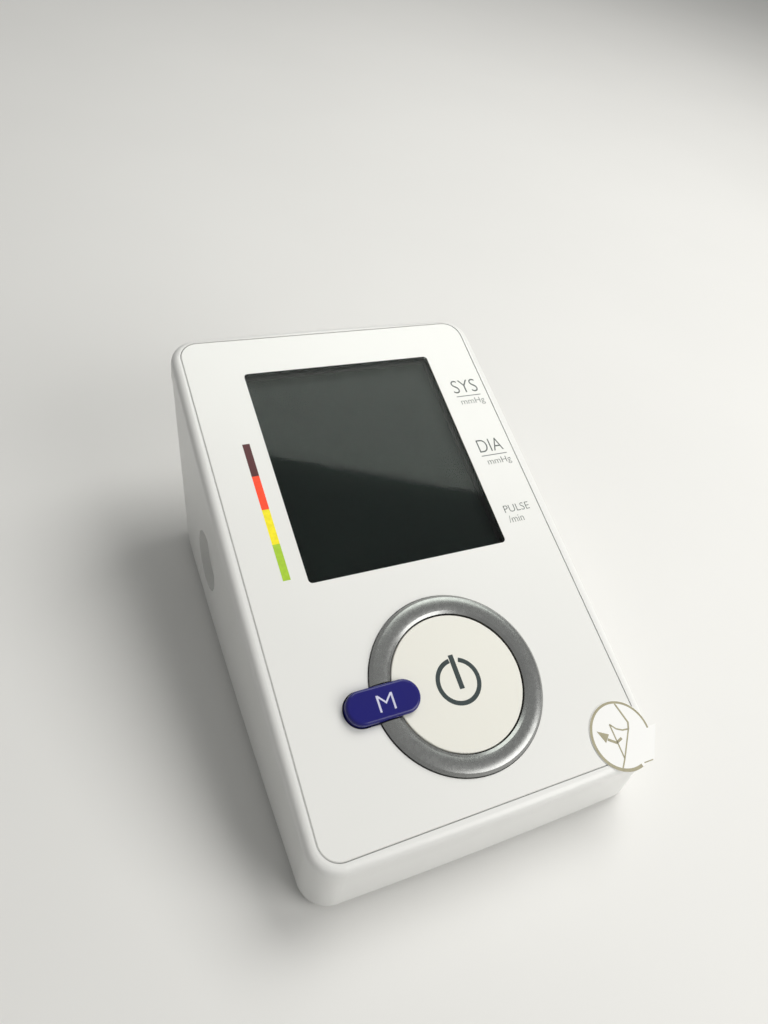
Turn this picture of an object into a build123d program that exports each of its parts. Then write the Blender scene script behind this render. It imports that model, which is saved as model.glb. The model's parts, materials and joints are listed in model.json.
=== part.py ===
from build123d import *
import os
from math import cos, hypot, radians, sin, tan

# Upper arm blood pressure monitor: a wedge-shaped desk unit, piece by piece, in millimetres.
# The unit stands on the table at height 0. X runs to the right, Y from the front edge to the back
# and Z up. The face leans back. Whatever is set into it is modelled flat, with height 0 on the
# face and y counted from the middle of the face, and is then laid onto the face as a whole.

os.makedirs("parts", exist_ok=True)

# Face: its tilt and the bands that make up its width and its length
face_tilt = 14.6
window_left_border = 19.9
window_width = 60.7
window_right_border = 19.4
key_front_border = 34.1
window_ring_gap = 11.0
window_length = 68.3
window_back_border = 15.8

# Case, outside
rim_depth = 6.8
rim_round = 2.2
side_bow = 0.7
corner_radius = 8.0
base_front_step = 1.0
base_round = 1.2
foot_height = 1.2

# Case, walls and the joint between its halves
wall = 2.4
floor_thickness = 2.2
plate_thickness = 2.0
parting_gap = 0.25
parting_reveal = 0.2
lip_height = 1.6
lip_root = 0.5
lip_set_in = 1.3
lip_step = 0.1
lip_clearance = 0.15

# Face panel
panel_thickness = 1.5
panel_side_border = 3.4
panel_end_border = 3.0
panel_corner = 5.5
panel_gap = 0.15
panel_edge_break = 0.25

# Display
window_corner = 1.2
pane_gap = 0.05
frame_border = 2.0
frame_flange = 1.6
frame_flange_thickness = 1.3
frame_gap = 0.2
glass_depth = 4.2
glass_thickness = 2.2
glass_border = 1.0
strip_width = 2.4

# Power key and its ring
key_radius = 18.1
key_height = 0.55
key_cap_thickness = 1.45
key_edge_round = 0.35
key_skirt = 1.3
key_rib_thickness = 1.0
key_flange_reach = 2.3
key_flange_thickness = 1.2
key_travel = 0.5
travel_reserve = 0.1
skirt_gap = 0.5
flange_gap = 0.25
ring_gap = 0.35
ring_width = 5.35
ring_crest = 1.5
ring_shoulder = 1.25
ring_inner_edge = 0.75
ring_outer_edge = 0.45
ring_bevel = 0.8
ring_panel_gap = 0.25

# Memory key
memory_key_offset = 0.5
memory_key_length = 20.0
memory_key_width = 8.8
memory_key_height = 2.4
memory_key_round = 0.9
memory_key_gap = 0.3
memory_key_clearance = 0.15
memory_round_share = 0.75
memory_skirt_gap = 0.6
memory_flange_reach = 1.3

# Switches under the keys
switch_side = 6.2
switch_corner = 0.4
switch_height = 3.0
plunger_radius = 1.7
plunger_gap = 0.12
plunger_length = 1.8
plunger_floor_gap = 0.4
stem_radius = 2.4
stem_reach = 0.45

# Main board and what it carries
board_thickness = 1.6
board_side_gap = 5.6
board_front_border = 12.0
board_back_border = 10.0
board_corner = 2.0
board_boss_clearance = 0.8
board_screw_inset = 3.4
board_screw_row = 13.9
board_screw_shift = 12.0
board_boss_radius = 2.5
board_screw_radius = 1.25
board_screw_length = 5.4
board_screw_hole_gap = 0.25
pan_head_radius = 2.4
pan_head_height = 1.6
chip_side = 14.0
chip_height = 1.6
chip_spacing = 28.0
chip_row = 7.0
beeper_radius = 6.0
beeper_height = 3.6
beeper_hole_radius = 1.0
beeper_hole_depth = 1.2
beeper_across = 22.0
beeper_row = 12.0

# Case screws, in deep holes from below
case_screw_inset = 8.5
case_screw_front = 19.0
case_screw_back = 6.0
case_boss_radius = 3.6
case_screw_radius = 1.5
case_screw_length = 10.0
case_screw_bite = 6.0
case_head_radius = 2.7
case_head_height = 2.0
front_boss_height = 12.8
back_boss_height = 30.8
motor_boss_gap = 2.0
screw_bite_gap = 0.05
screw_hole_gap = 0.2
head_hole_gap = 0.3

# Screw shape, as shares of the head's radius, the head's height and the shank's radius
recess_length = 1.1
recess_width = 0.28
recess_depth = 0.5
head_round = 0.45
point_bevel = 0.4

# Battery cells and their bay
cell_diameter = 14.2
cell_body_length = 49.5
cell_edge_round = 0.6
cell_nub_length = 1.0
cell_nub_radius = 2.75
cell_count = 4
cell_rib = 0.4
cell_clearance = 0.2
bay_inset = 39.0
bay_wall = 1.5
bay_roof = 1.4
board_bay_gap = 1.05
contact_thickness = 0.4
contact_width = 9.5
contact_spring_length = 4.2
contact_spring_radius = 3.2
contact_spring_wire = 0.4
contact_spring_turns = 3

# Battery cover
cover_thickness = 1.8
cover_margin = 3.0
cover_back_margin = 3.7
cover_gap = 0.2
cover_ledge = 1.6
cover_frame = 2.0
cover_edge_flat = 0.004
tab_width = 8.0
tab_across = 22.0
tab_reach = 2.6
tab_thickness = 1.2
tab_lift = 0.25
tab_play = 0.15
tab_swing_gap = 0.6
latch_width = 12.0
latch_inset = 0.4
latch_thickness = 1.1
latch_ramp = 2.25
latch_nose = 0.5
latch_play = 0.15
grip_radius = 9.0
grip_depth = 0.7
grip_width = 14.0
grip_inset = 9.5
thumb_radius = 8.0
thumb_depth = 1.0
thumb_inset = 4.0

# Pump: motor, crank and head in line
pump_space = 32.5
pump_inset = 14.0
pump_lift = 2.1
motor_radius = 12.2
motor_length = 30.8
motor_edge_round = 0.8
can_wall = 1.0
can_end = 1.5
bearing_radius = 3.0
bearing_length = 1.6
bearing_cap = 0.8
shaft_radius = 1.0
shaft_clearance = 0.04
shaft_end_gap = 0.2
shaft_reach = 12.0
armature_radius = 8.6
armature_length = 15.0
armature_inset = 6.0
armature_slots = 3
armature_slot_width = 1.8
armature_slot_floor = 3.4
commutator_radius = 3.0
commutator_length = 3.9
magnet_length = 20.0
magnet_inset = 4.0
magnet_thickness = 1.8
magnet_fit = 0.02
magnet_pole_gap = 6.0
pump_head_side = 27.0
pump_head_length = 27.0
pump_head_corner = 4.0
pump_head_gap = 0.05
layer_groove = 0.6
layer_groove_depth = 0.5
layer_places = (7.0, 14.0)
crank_radius = 6.5
crank_length = 5.0
crank_offset = 1.2
crank_inset = 4.5
crank_hub_radius = 2.4
crank_hub_length = 7.0
crank_room = 0.8
crank_end_room = 1.5
shaft_room = 0.3
damper_thickness = 1.4
damper_length = 18.0
damper_inset = 7.0

# Cradles that carry the pump and the valve
cradle_thickness = 2.0
cradle_inset = 2.0
cradle_gap = 0.1
cradle_shoulder = 0.6
motor_cradle_drop = 5.0
head_cradle_inset = 4.0
head_cradle_width = 20.0
valve_cradle_inset = 3.0
valve_cradle_width = 10.0
valve_cradle_drop = 1.5

# Air socket in the left wall
socket_inset = 31.1
socket_height = 20.4
socket_dish_radius = 9.0
socket_dish_depth = 2.6
socket_pad = 1.8
socket_radius = 6.0
socket_seat_gap = 0.1
socket_bore_radius = 3.6
socket_bore_depth = 8.5
socket_length = 13.8
socket_bay_gap = 1.0
socket_end_wall = 0.7
socket_flange_radius = 8.0
socket_flange_thickness = 1.5
gasket_thickness = 0.8
gasket_gap = 0.05

# Air line: nozzles, manifold and tubes
nozzle_radius = 1.9
nozzle_bore = 1.0
nozzle_length = 3.9
nozzle_gap = 0.7
nozzle_depth = 5.0
manifold_side = 7.0
manifold_depth = 4.5
manifold_edge_round = 1.0
manifold_offset = 0.5
manifold_drop = 1.4
tube_radius = 3.0
tube_end_gap = 0.25
tube_bend = 4.5

# Release valve
valve_bay_gap = 1.1
valve_wall_gap = 1.0
valve_run = 40.5
valve_lift_off_floor = 6.5
valve_radius = 5.2
valve_end_wall = 1.5
valve_play = 0.1
valve_bore_radius = 2.1
valve_nozzle_length = 4.9
valve_plunger_radius = 2.0
valve_plunger_length = 10.0
valve_plunger_bevel = 0.3
valve_spring_length = 6.8
valve_spring_wire = 0.25
valve_spring_gap = 0.2
valve_spring_turns = 5
valve_groove = 0.6
valve_groove_depth = 0.5
valve_groove_inset = 4.0
valve_tube_shift = 20.5

# Pressure sensor
sensor_side = 7.6
sensor_thickness = 4.0
sensor_shift = 0.6
sensor_nozzle_length = 3.4
sensor_nozzle_gap = 0.6
sensor_tube_radius = 2.8
sensor_tube_rise = 2.55
sensor_tube_bend = 1.5

# Supply socket in the right wall
dc_cover_gap = 6.5
dc_height = 10.0
dc_body_length = 11.0
dc_body_width = 9.0
dc_body_height = 10.0
dc_nose_radius = 4.0
dc_nose_inset = 0.4
dc_nose_gap = 0.1
dc_bore_radius = 3.0
dc_pin_radius = 1.0
dc_pin_inset = 0.8
dc_depth = 9.0
dc_seat_gap = 0.5
dc_pocket_wall = 1.6
dc_pocket_height = 3.0
dc_pocket_gap = 0.05

# Feet
foot_radius = 5.0
foot_seat = 0.8
foot_seat_gap = 0.1
foot_edge_round = 0.6
front_foot_side = 13.0
front_foot_inset = 9.0
back_foot_side = 20.0
back_foot_inset = 7.5

# Pull tab of the protective film: a round tab, and a tail that runs off the edge of the face
tab_side_border = 10.6
tab_front_border = 8.6
tab_circle_radius = 9.3
film_thickness = 0.2
tail_width = 8.4
tail_overhang = 1.2
tail_turn = 32.5

# How far a part runs into what it joins, and how far a cut runs past the surface
join = 0.2
past = 1.0
large = 400.0

# Widths from the left wall inwards: the air line, the pump and the boss behind its motor
dish_inset = parting_reveal + socket_dish_depth
air_line_inset = dish_inset + socket_length - socket_end_wall - nozzle_radius
head_inset = air_line_inset + manifold_side / 2 + 2 * nozzle_length + nozzle_gap
motor_end_inset = head_inset + pump_head_length + motor_length + bearing_length
pump_line_width = motor_end_inset + motor_boss_gap + case_boss_radius + case_screw_inset

# Widths from the middle outwards: the battery bay, and the valve and the air socket beside it
cell_pitch = cell_diameter + 2 * cell_clearance + cell_rib
bay_half_width = cell_pitch * cell_count / 2 + cell_clearance
bay_reach = bay_half_width + bay_wall
valve_reach = bay_reach + valve_bay_gap + valve_radius
valve_line_width = 2 * (valve_reach + valve_radius + valve_wall_gap + wall)
socket_line_width = 2 * (bay_reach + socket_bay_gap + socket_length + dish_inset)

# Face, worked out from its bands: the case is as wide as the widest of these lines
tilt = radians(face_tilt)
face_width = window_left_border + window_width + window_right_border
body_width = max(face_width, pump_line_width, valve_line_width, socket_line_width)
ring_inner = key_radius + ring_gap
ring_outer = ring_inner + ring_width
face_length = key_front_border + ring_outer + window_ring_gap + window_length + window_back_border
face_reach = face_length * cos(tilt)
key_y = key_front_border - face_length / 2
window_y = face_length / 2 - window_back_border - window_length / 2
window_across = (window_left_border - window_right_border) / 2
panel_width = body_width - 2 * panel_side_border
panel_length = face_length - 2 * panel_end_border

# Depths under the face, from the plate down to the board
plate_underside = -panel_thickness - plate_thickness
flange_top = plate_underside - flange_gap
flange_low = flange_top - key_flange_thickness
stem_foot = flange_low - stem_reach
switch_top = stem_foot - travel_reserve - key_travel
board_top = switch_top - switch_height
board_low = board_top - board_thickness
glass_low = -glass_depth - glass_thickness

# Base, bay and cover, from the front edge to the back
base_front = -face_reach / 2 - base_front_step
spring_and_contacts = contact_spring_length + 2 * contact_thickness
bay_length = cell_body_length + cell_nub_length + spring_and_contacts
bay_front = base_front + bay_inset
bay_back = bay_front + bay_length
base_back = bay_back + pump_space
base_length = base_back - base_front
base_mid = (base_front + base_back) / 2
cover_half_width = bay_half_width + cover_margin
cover_front = bay_front - cover_margin
cover_back = bay_back + cover_back_margin

# Heights above the table
floor_top = foot_height + floor_thickness
cover_top = foot_height + cover_thickness
cell_height = cover_top + cell_clearance + cell_diameter / 2
bay_top = cell_height + cell_diameter / 2 + cell_clearance + bay_roof
pad_top = cover_top + cover_ledge
tab_low = floor_top + tab_lift
pivot_back = cover_front + cover_thickness / 2
pivot_height = foot_height + cover_thickness / 2
board_rise = (bay_wall - bay_front) * tan(tilt)
face_mid_height = bay_top + board_bay_gap - board_low / cos(tilt) + board_rise

# The face, and the plane under it where the two halves of the case meet
face = Plane(origin=(0, 0, face_mid_height), x_dir=(1, 0, 0), z_dir=(0, -sin(tilt), cos(tilt)))
parting_height = face_mid_height - rim_depth - parting_gap
parting = Plane(origin=(0, 0, parting_height), x_dir=(1, 0, 0), z_dir=face.z_dir)
down = (0, 0, -1)
up = (0, 0, 1)

# Memory key to the left of the power key: its cap bridges the ring and passes over the power key
memory_key_across = -(ring_inner + ring_width / 2 + memory_key_offset)
memory_switch_across = memory_key_across - (memory_key_length - memory_key_width) / 2
memory_cap_low = key_height + key_travel + memory_key_clearance
memory_skirt_low = key_travel + memory_key_clearance - panel_thickness
memory_skirt_end = -(key_radius + memory_skirt_gap)

# Air line and pump, from the left wall inwards
left_wall = -body_width / 2
right_wall = body_width / 2
dish_floor = left_wall + dish_inset
socket_back = base_back - socket_inset
socket_end = dish_floor + socket_length
air_line_across = left_wall + air_line_inset
pump_back = base_back - pump_inset
pump_height = floor_top + pump_lift + pump_head_side / 2
manifold_back = pump_back + manifold_offset
head_left = left_wall + head_inset
motor_left = head_left + pump_head_length
motor_right = motor_left + motor_length
barb_end = manifold_back - manifold_side / 2 - nozzle_length - nozzle_gap

# Pressure sensor above the manifold, which reaches up to its tube
sensor_row = (manifold_back + board_low * sin(tilt)) / cos(tilt) - sensor_shift
sensor_low = board_low - sensor_thickness
sensor_tip = sensor_low - sensor_nozzle_length
sensor_tube_end = face.from_local_coords((air_line_across, sensor_row, sensor_tip - sensor_nozzle_gap))
manifold_tip = sensor_tube_end.Z - sensor_tube_rise - sensor_nozzle_gap
manifold_top = manifold_tip - nozzle_length
manifold_low = socket_height - manifold_depth

# Valve and supply socket
valve_across = -valve_reach
valve_height = floor_top + valve_lift_off_floor
valve_length = 2 * (valve_end_wall + valve_play) + valve_plunger_length + valve_spring_length
valve_back_end = manifold_back - valve_run
valve_front_end = valve_back_end - valve_length
dc_back = cover_front - dc_cover_gap
dc_seat = right_wall - wall - dc_seat_gap
dc_low = dc_height - dc_body_height / 2

pieces = {}


def keep(name, *solids):
    """Files the solids of one piece, or of a set of like pieces, under its name."""
    pieces[name] = [part for solid in solids for part in solid.solids()]


def on_face(part):
    """Lays a flat-modelled part onto the leaning face."""
    return face.location * part


def disc(radius, low, high, x=0.0, y=0.0):
    """Upright cylinder between two heights."""
    return Pos(x, y, low) * Cylinder(radius, high - low, align=(Align.CENTER, Align.CENTER, Align.MIN))


def rod_x(radius, start, end, y, z):
    """Cylinder that lies along X from start to end."""
    return Pos(start, y, z) * Rot(0, 90, 0) * disc(radius, 0, end - start)


def rod_y(radius, start, end, x, z):
    """Cylinder that lies along Y from start to end."""
    return Pos(x, start, z) * Rot(-90, 0, 0) * disc(radius, 0, end - start)


def block(width, length, low, high, x=0.0, y=0.0, corner=0.0):
    """Upright block between two heights, with round corners where corner is given."""
    outline = RectangleRounded(width, length, corner) if corner else Rectangle(width, length)
    return Pos(x, y, low) * extrude(outline, high - low)


def slab(x0, x1, y0, y1, z0, z1):
    """Box between two corners."""
    return Pos((x0 + x1) / 2, (y0 + y1) / 2, (z0 + z1) / 2) * Box(x1 - x0, y1 - y0, z1 - z0)


def window_block(border, low, high, corner=0.0):
    """Block in line with the display window, wider than the window by a border all round."""
    width = window_width + 2 * border
    length = window_length + 2 * border
    return block(width, length, low, high, window_across, window_y, corner)


def stadium(low, high, grow=0.0):
    """The memory key's outline as an upright solid, grown all round."""
    outline = SlotOverall(memory_key_length + 2 * grow, memory_key_width + 2 * grow)
    return Pos(memory_key_across, key_y, low) * extrude(outline, high - low)


def pillow(length, inset=0.0):
    """The case's outline: a rectangle with slightly bowed sides and round corners, set in all round."""
    half_width = body_width / 2 - inset
    half_length = length / 2 - inset
    side, end = half_width - side_bow, half_length - side_bow
    bows = [
        ThreePointArc((-side, -end), (0, -half_length), (side, -end)),
        ThreePointArc((side, -end), (half_width, 0), (side, end)),
        ThreePointArc((side, end), (0, half_length), (-side, end)),
        ThreePointArc((-side, end), (-half_width, 0), (-side, -end)),
    ]
    outline = make_face(Wire(bows))
    return fillet(outline.vertices(), corner_radius - inset)


def below_face(depth):
    """Everything that lies deeper than this under the face."""
    return on_face(block(large, large, -large, -depth))


def under_rim(inset, depth):
    """The face's outline, set in, run straight down by this much."""
    return extrude(face * pillow(face_length, inset), depth, dir=down)


def pan_screw(head_radius, head_height, shank_radius, shank_length):
    """Pan-head screw that points up, with the underside of its head at height 0."""
    head = disc(head_radius, -head_height, 0)
    head = fillet(head.edges().sort_by(Axis.Z)[0], head_height * head_round)
    slot = block(
        head_radius * recess_length,
        head_radius * recess_width,
        -head_height,
        -head_height * recess_depth,
    )
    head -= slot + Rot(0, 0, 90) * slot
    shank = disc(shank_radius, 0, shank_length)
    shank = chamfer(shank.edges().sort_by(Axis.Z)[-1], shank_radius * point_bevel)
    return head + shank


def helix_spring(radius, wire, turns, length):
    """Round-wire compression spring that stands on height 0."""
    pitch = (length - 2 * wire) / turns
    path = Helix(pitch=pitch, height=pitch * turns, radius=radius)
    section = Plane(origin=path @ 0, z_dir=path % 0) * Circle(wire)
    return Pos(0, 0, wire) * sweep(section, path=path)


def tube_along(route, radius, bore):
    """Tube with this bore along a route."""
    start = Plane(origin=route @ 0, z_dir=route % 0)
    return sweep(start * Circle(radius), path=route) - sweep(start * Circle(bore), path=route)


def left_and_right(across, y):
    """The two places to the left and right of the middle."""
    return [(-across, y), (across, y)]


def board_screw_places():
    """Where the board's screws stand: beside the power key and beside the window."""
    across = body_width / 2 - wall - board_side_gap - board_screw_inset
    window_row = window_y - board_screw_shift
    return left_and_right(across, key_y + board_screw_row) + left_and_right(across, window_row)


def case_screw_places():
    """Case screws as (x, y, height of the lower boss)."""
    across = body_width / 2 - case_screw_inset
    front_top = foot_height + front_boss_height
    back_top = foot_height + back_boss_height
    front = [(x, y, front_top) for x, y in left_and_right(across, base_front + case_screw_front)]
    back = [(x, y, back_top) for x, y in left_and_right(across, base_back - case_screw_back)]
    return front + back


def foot_places():
    """Where the four feet sit."""
    front = left_and_right(body_width / 2 - front_foot_side, base_front + front_foot_inset)
    return front + left_and_right(body_width / 2 - back_foot_side, base_back - back_foot_inset)


def cell_places():
    """Middle of each battery cell across the bay."""
    first = -(cell_count - 1) / 2 * cell_pitch
    return [first + n * cell_pitch for n in range(cell_count)]


def make_top_case():
    """Upper half of the housing: rim, face plate with its openings, bosses and a rabbet for the lip."""
    shell = under_rim(0, rim_depth)
    rim = shell.faces().sort_by(Axis(face.origin, face.z_dir))[-1]
    shell = fillet(rim.edges(), rim_round)
    shell -= under_rim(wall, rim_depth + wall) & below_face(-plate_underside)
    rabbet_depth = rim_depth - lip_height - parting_gap
    rabbet = under_rim(lip_set_in - lip_clearance, rim_depth + wall)
    shell -= rabbet & Pos(0, 0, -rabbet_depth) * below_face(0)
    recess_grow = 2 * panel_gap
    shell -= on_face(
        block(
            panel_width + recess_grow,
            panel_length + recess_grow,
            -panel_thickness,
            rim_round,
            corner=panel_corner + panel_gap,
        )
    )
    low = plate_underside - past
    shell -= on_face(window_block(frame_border + frame_gap, low, 0, window_corner))
    shell -= on_face(disc(key_radius + skirt_gap, low, 0, 0, key_y))
    carrier_hole = memory_key_width / 2 + memory_key_gap
    shell -= on_face(disc(carrier_hole, low, 0, memory_switch_across, key_y))
    for x, y, top in case_screw_places():
        post = disc(case_boss_radius, top + parting_gap, large, x, y)
        shell += post & below_face(-plate_underside - join)
    for x, y in board_screw_places():
        shell += on_face(disc(board_boss_radius, board_top, plate_underside + join, x, y))
    for x, y in board_screw_places():
        hole_top = board_low + board_screw_length + join
        shell -= on_face(disc(board_screw_radius + screw_bite_gap, board_top - past, hole_top, x, y))
    for x, y, top in case_screw_places():
        hole_radius = case_screw_radius + screw_bite_gap
        shell -= disc(hole_radius, top - past, top + case_screw_bite + past, x, y)
    keep("top_case", shell)


def make_face_panel():
    """White printed panel set flush into the top case, with openings for the window and the keys."""
    panel = block(panel_width, panel_length, -panel_thickness, 0, corner=panel_corner)
    panel = chamfer(panel.faces().sort_by(Axis.Z)[-1].edges(), panel_edge_break)
    panel -= window_block(0, -panel_thickness, past, window_corner)
    panel -= disc(ring_outer + ring_panel_gap, -panel_thickness, past, 0, key_y)
    panel -= stadium(-panel_thickness, past, grow=memory_key_gap)
    keep("face_panel", on_face(panel))


def make_display():
    """Clear pane, black frame, glass and the two rubber connector strips under it."""
    keep("display_window", on_face(window_block(-pane_gap, -panel_thickness, 0, window_corner)))
    frame = window_block(frame_border, board_top, -panel_thickness, window_corner)
    flange_low_side = plate_underside - frame_flange_thickness
    frame += window_block(frame_border + frame_flange, flange_low_side, plate_underside, window_corner)
    frame -= window_block(0, -glass_depth - past, 0, window_corner / 2)
    frame -= window_block(glass_border + pane_gap, board_top - past, -glass_depth)
    keep("display_frame", on_face(frame))
    keep("display_glass", on_face(window_block(glass_border, glass_low, -glass_depth)))
    strip_place = window_length / 2 + glass_border - strip_width
    ends = (window_y - strip_place, window_y + strip_place)
    strips = [block(window_width, strip_width, board_top, glass_low, window_across, y) for y in ends]
    keep("display_connector_strips", *[on_face(strip) for strip in strips])


def make_key_ring():
    """Satin ring round the power key, open at the left where the memory key crosses it."""
    middle = (ring_inner + ring_outer) / 2
    inner_shoulder = (ring_inner + ring_bevel, ring_shoulder)
    outer_shoulder = (ring_outer - ring_bevel, ring_shoulder)
    edges = [
        Line((ring_inner, -panel_thickness), (ring_inner, ring_inner_edge)),
        Line((ring_inner, ring_inner_edge), inner_shoulder),
        ThreePointArc(inner_shoulder, (middle, ring_crest), outer_shoulder),
        Line(outer_shoulder, (ring_outer, ring_outer_edge)),
        Line((ring_outer, ring_outer_edge), (ring_outer, -panel_thickness)),
        Line((ring_outer, -panel_thickness), (ring_inner, -panel_thickness)),
    ]
    ring = Pos(0, key_y, 0) * revolve(Plane.XZ * make_face(Wire(edges)), Axis.Z)
    ring -= stadium(-panel_thickness - past, ring_crest + past, grow=memory_key_gap)
    keep("key_ring", on_face(ring))


def make_power_key():
    """Round key cap with a skirt, a flange that keeps it in, and a ribbed stem over its switch."""
    cap_low = key_height - key_cap_thickness
    cap = disc(key_radius, cap_low, key_height)
    cap = fillet(cap.edges().sort_by(Axis.Z)[-1], key_edge_round)
    skirt = disc(key_radius, flange_low, cap_low)
    skirt += disc(key_radius + key_flange_reach, flange_low, flange_top)
    skirt -= disc(key_radius - key_skirt, flange_low, cap_low)
    key = cap + skirt + disc(stem_radius, stem_foot, cap_low)
    rib = block(2 * key_radius - key_skirt, key_rib_thickness, plate_underside, cap_low)
    key += rib + Rot(0, 0, 90) * rib
    keep("power_key", on_face(Pos(0, key_y, 0) * key))


def make_memory_key():
    """Long rounded cap that bridges the ring, on a carrier with its own flange and stem."""
    cap = stadium(memory_cap_low, memory_key_height)
    cap_round = min(memory_key_round, memory_round_share * (memory_key_height - memory_cap_low))
    cap = fillet(cap.faces().sort_by(Axis.Z)[-1].edges(), cap_round)
    keep("memory_key", on_face(cap))
    x = memory_switch_across
    radius = memory_key_width / 2
    carrier = disc(radius, flange_low, memory_cap_low, x, key_y)
    skirt_length = memory_skirt_end - x
    skirt = block(skirt_length, memory_key_width, memory_skirt_low, memory_cap_low)
    carrier += Pos(x + skirt_length / 2, key_y, 0) * skirt
    carrier += disc(radius + memory_flange_reach, flange_low, flange_top, x, key_y)
    carrier += disc(stem_radius, stem_foot, flange_low + join, x, key_y)
    keep("memory_key_carrier", on_face(carrier))


def make_switches():
    """Two small push switches on the board, each with the plunger that its key presses."""
    places = {"power": 0.0, "memory": memory_switch_across}
    for name, x in places.items():
        body = block(switch_side, switch_side, board_top, switch_top, x, key_y)
        body = chamfer(body.edges().filter_by(Axis.Z), switch_corner)
        hole_low = switch_top - plunger_length - plunger_floor_gap
        body -= disc(plunger_radius + plunger_gap, hole_low, switch_top + past, x, key_y)
        keep(f"{name}_switch", on_face(body))
        plunger = disc(plunger_radius, stem_foot - plunger_length, stem_foot, x, key_y)
        keep(f"{name}_switch_plunger", on_face(plunger))


def make_board():
    """Main circuit board with its chips and beeper, held under the face by four screws."""
    width = body_width - 2 * (wall + board_side_gap)
    length = face_length - board_front_border - board_back_border
    mid = (board_front_border - board_back_border) / 2
    board = block(width, length, board_low, board_top, 0, mid, board_corner)
    for x, y in board_screw_places():
        hole_radius = board_screw_radius + board_screw_hole_gap
        board -= disc(hole_radius, board_low - past, board_top + past, x, y)
    board = on_face(board)
    for x, y, _ in case_screw_places():
        board -= disc(case_boss_radius + board_boss_clearance, 0, large, x, y)
    keep("main_board", board)
    screw = pan_screw(pan_head_radius, pan_head_height, board_screw_radius, board_screw_length)
    keep("board_screws", *[on_face(Pos(x, y, board_low) * screw) for x, y in board_screw_places()])
    chips = []
    for x, y in left_and_right(chip_spacing / 2, chip_row):
        chips.append(on_face(block(chip_side, chip_side, board_low - chip_height, board_low, x, y)))
    keep("board_chips", *chips)
    beeper_y = beeper_row + board_front_border - face_length / 2
    beeper_low = board_low - beeper_height
    beeper = disc(beeper_radius, beeper_low, board_low, beeper_across, beeper_y)
    hole_top = beeper_low + beeper_hole_depth
    beeper -= disc(beeper_hole_radius, beeper_low - past, hole_top, beeper_across, beeper_y)
    keep("beeper", on_face(beeper))


def bay_walls():
    """Box round the battery bay, and the frame that the cover closes against."""
    side = bay_half_width + bay_wall
    low = floor_top - join
    box = slab(-side, side, bay_front - bay_wall, bay_back + bay_wall, low, bay_top)
    edge = cover_half_width + cover_frame
    frame = slab(-edge, edge, cover_front - cover_frame, cover_back + cover_frame, low, pad_top)
    return box + frame


def bay_hollows():
    """What is cut for the cells, the cover, its tabs, its latch and the thumb."""
    cut = slab(-bay_half_width, bay_half_width, bay_front, bay_back, foot_height, cell_height)
    for x in cell_places():
        cut += rod_y(cell_diameter / 2 + cell_clearance, bay_front, bay_back, x, cell_height)
    edge = cover_half_width + cover_gap
    cut += slab(
        -edge,
        edge,
        cover_front - cover_gap,
        cover_back + cover_gap,
        foot_height - past,
        cover_top + cover_gap,
    )
    swing = hypot(tab_reach + cover_thickness / 2, tab_low + tab_thickness - pivot_height)
    well_top = pivot_height + swing + tab_swing_gap
    well_front = cover_front - tab_reach - tab_swing_gap
    half = tab_width / 2 + cover_gap
    for x, _ in left_and_right(tab_across, 0):
        cut += slab(x - half, x + half, well_front, bay_front + past, tab_low - tab_play, well_top)
        cut += slab(x - half, x + half, cover_front - cover_gap, bay_front + past, cover_top, tab_low)
    half = latch_width / 2 + cover_gap
    slot_back = cover_back - latch_inset + cover_gap
    cut += slab(-half, half, bay_back + bay_wall, slot_back, cover_top, pad_top + past)
    thumb_low = foot_height + thumb_depth - thumb_radius
    cut += rod_x(thumb_radius, -half, half, cover_back + cover_gap + thumb_inset, thumb_low)
    return cut


def cradles():
    """Ribs on the floor with saddles for the motor, the pump head and the valve."""
    saddle = motor_radius + damper_thickness + cradle_gap
    damper_left = motor_left + damper_inset
    front = pump_back - saddle - cradle_shoulder
    back = pump_back + saddle + cradle_shoulder
    top = pump_height - motor_cradle_drop
    ribs = Part()
    for x in (damper_left + cradle_inset, damper_left + damper_length - cradle_inset - cradle_thickness):
        rib = slab(x, x + cradle_thickness, front, back, floor_top - join, top)
        ribs += rib - rod_x(saddle, x - past, x + cradle_thickness + past, pump_back, pump_height)
    half = head_cradle_width / 2
    top = pump_height - pump_head_side / 2 - pump_head_gap
    for x in (head_left + head_cradle_inset, motor_left - head_cradle_inset - cradle_thickness):
        ribs += slab(x, x + cradle_thickness, pump_back - half, pump_back + half, floor_top - join, top)
    half = valve_cradle_width / 2
    top = valve_height - valve_cradle_drop
    saddle = valve_radius + pump_head_gap
    back_rib = valve_back_end - valve_cradle_inset - cradle_thickness
    for y in (valve_front_end + valve_cradle_inset, back_rib):
        end = y + cradle_thickness
        rib = slab(valve_across - half, valve_across + half, y, end, floor_top - join, top)
        ribs += rib - rod_y(saddle, y - past, end + past, valve_across, valve_height)
    return ribs


def supply_pocket():
    """Walls on the floor that hold the body of the supply socket."""
    wide = dc_body_width / 2 + dc_pocket_wall
    left = dc_seat - dc_body_length - dc_pocket_wall
    high = dc_low + dc_pocket_height
    half = dc_body_width / 2 + dc_pocket_gap
    pocket = slab(left, right_wall - parting_reveal, dc_back - wide, dc_back + wide, floor_top - join, high)
    return pocket - slab(left - past, dc_seat, dc_back - half, dc_back + half, dc_low, high + past)


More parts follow.
